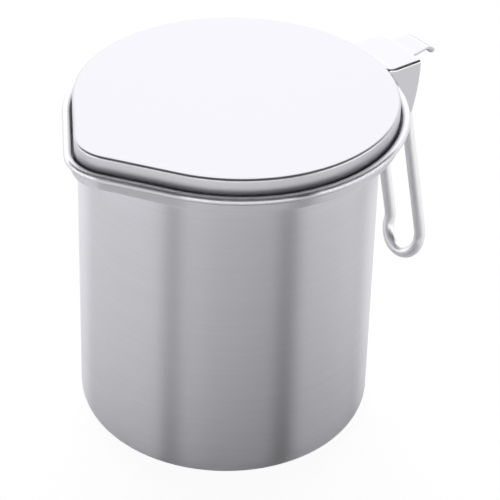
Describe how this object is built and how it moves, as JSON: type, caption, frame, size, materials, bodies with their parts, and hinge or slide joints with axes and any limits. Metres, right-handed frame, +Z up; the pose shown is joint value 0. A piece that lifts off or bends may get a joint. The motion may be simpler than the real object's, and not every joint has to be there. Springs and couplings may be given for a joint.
{
  "type": "grease container",
  "caption": "Round steel grease pot with a stepped teardrop mouth and spout, a hinged flat lid with a thumb lever, a bent-rod handle and a lift-out strainer.",
  "frame": {"origin": "centre of the flat base of the pot, on the axis of its round wall", "axes": "+Z up, +X towards the handle and the hinge, -X towards the spout, +Y to the left as seen from the handle side"},
  "size_m": [0.1553, 0.1198, 0.1264],
  "materials": {
    "pot_steel": "fine horizontal brushing, polished rim",
    "lid_steel": "satin",
    "rod_steel": "bright satin",
    "hinge_steel": "plain satin",
    "strainer_steel": "satin",
    "mesh_steel": "fine woven wire"
  },
  "bodies": {
    "pot": {"pot_shell": "pot_steel", "handle_rod": "rod_steel", "hinge_bracket": "hinge_steel", "hinge_barrel": "hinge_steel", "strainer_basket": "strainer_steel", "strainer_mesh": "mesh_steel", "strainer_clamp_ring": "strainer_steel", "strainer_loop": "strainer_steel"},
    "lid": {"lid_shell": "lid_steel", "lid_lever": "lid_steel", "hinge_pin": "hinge_steel"}
  },
  "joints": [
    {"name": "lid_hinge", "type": "hinge", "parent": "pot", "child": "lid", "pos_m": [0.06951, 0, 0.1173], "axis": [0, 1, 0], "range_deg": [0, 70]}
  ]
}
